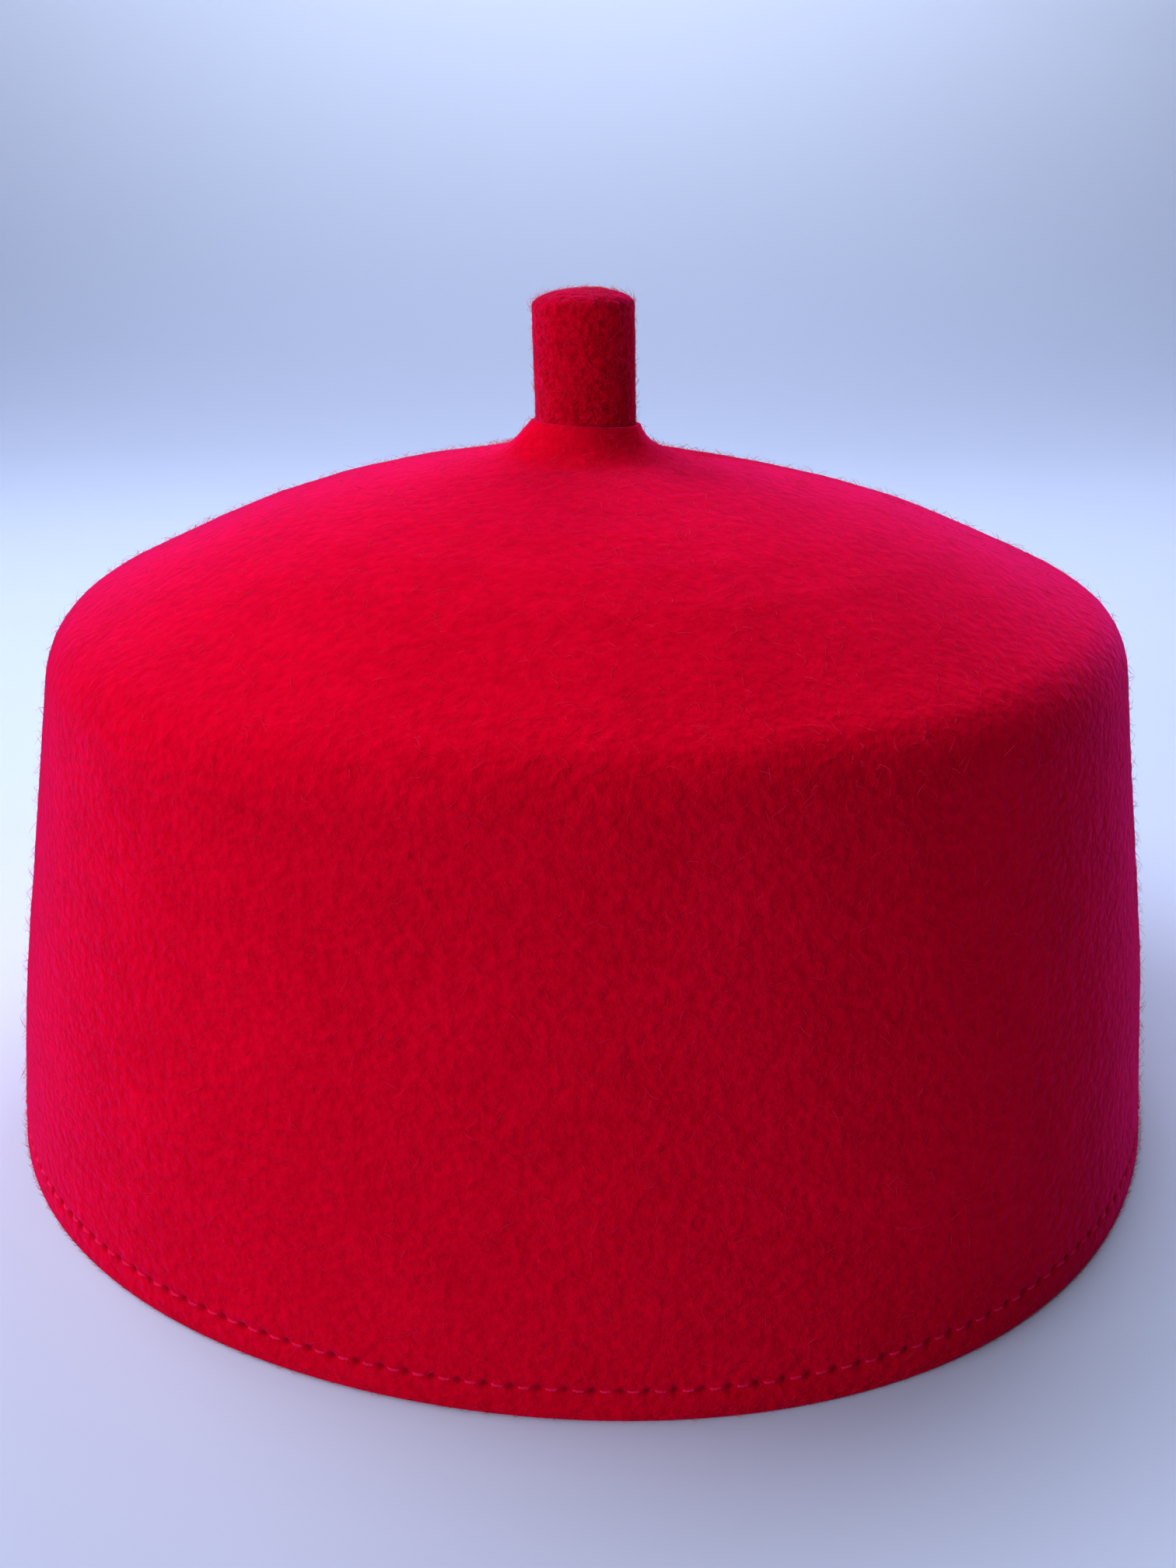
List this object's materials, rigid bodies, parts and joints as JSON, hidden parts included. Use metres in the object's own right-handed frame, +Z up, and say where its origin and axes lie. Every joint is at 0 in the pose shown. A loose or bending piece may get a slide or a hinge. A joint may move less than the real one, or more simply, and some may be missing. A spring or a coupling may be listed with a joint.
{
  "type": "igbo cap",
  "caption": "Stiff felt cap with slightly tapering walls, a rounded shoulder, a low domed top and a short felt stem standing in a collar at its middle.",
  "frame": {"origin": "middle of the cap's plan, on the surface that its rim rests on", "axes": "+Z up through the stem, -Y towards the front of the cap, +X to the right as seen from the front"},
  "size_m": [0.1884, 0.1886, 0.1254],
  "materials": {
    "crown_felt": "matt wool felt with a short soft nap",
    "stem_felt": "matt wool felt with a short soft nap"
  },
  "bodies": {
    "root": {"crown": "crown_felt", "stem": "stem_felt"}
  },
  "joints": []
}
